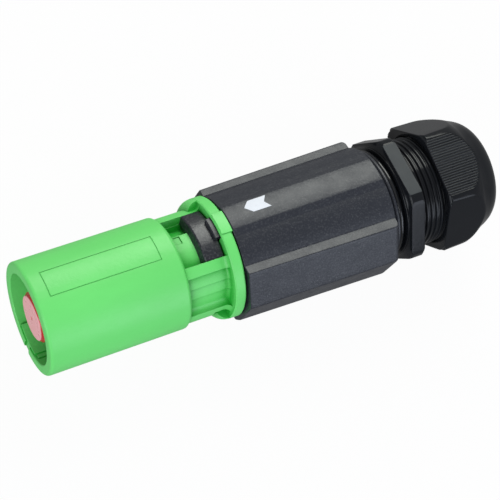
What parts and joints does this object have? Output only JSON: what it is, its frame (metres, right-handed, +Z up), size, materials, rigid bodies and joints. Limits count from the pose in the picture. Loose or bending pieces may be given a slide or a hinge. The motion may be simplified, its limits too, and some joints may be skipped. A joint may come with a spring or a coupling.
{
  "type": "single pole power connector",
  "caption": "Line-mounted single pole power connector with a shrouded contact pin, sliding latch, grip handle and cable gland with a domed hexagonal nut.",
  "frame": {"origin": "centre of the bottom of the bounding box, on the surface the connector lies on, midway along its length", "axes": "+X along the connector's axis from the mouth to the gland, +Z up, +Y across; the arrow land is turned 18 degrees from +Z towards +Y"},
  "size_m": [0.2214, 0.0624, 0.0592],
  "materials": {
    "green_plastic": "satin moulded",
    "black_plastic": "satin moulded",
    "gland_plastic": "half gloss",
    "red_plastic": "satin moulded",
    "contact_metal": "silver plated",
    "steel": "turned",
    "rubber": "smooth"
  },
  "bodies": {
    "connector": {"front_insulator": "green_plastic", "mating_seal": "rubber", "contact_pin": "contact_metal", "contact_cap": "red_plastic", "contact_seal": "rubber", "contact_washer": "steel", "contact_circlip": "steel", "latch_spring": "steel", "inner_sleeve": "black_plastic", "sleeve_seal": "rubber", "clamp_screw_1": "steel", "clamp_screw_2": "steel", "handle": "black_plastic", "handle_screw_1": "steel", "handle_screw_2": "steel", "gland_gasket": "rubber", "gland_body": "gland_plastic", "gland_seal": "rubber", "dome_nut": "gland_plastic"},
    "latch": {"locking_latch": "black_plastic"}
  },
  "joints": [
    {"name": "latch_slide", "type": "slide", "parent": "connector", "child": "latch", "axis": [-1, 0, 0], "range_m": [0, 0.006], "stiffness_N_per_m": 300, "springref_m": -0.004, "deforming": ["latch_spring"]}
  ]
}
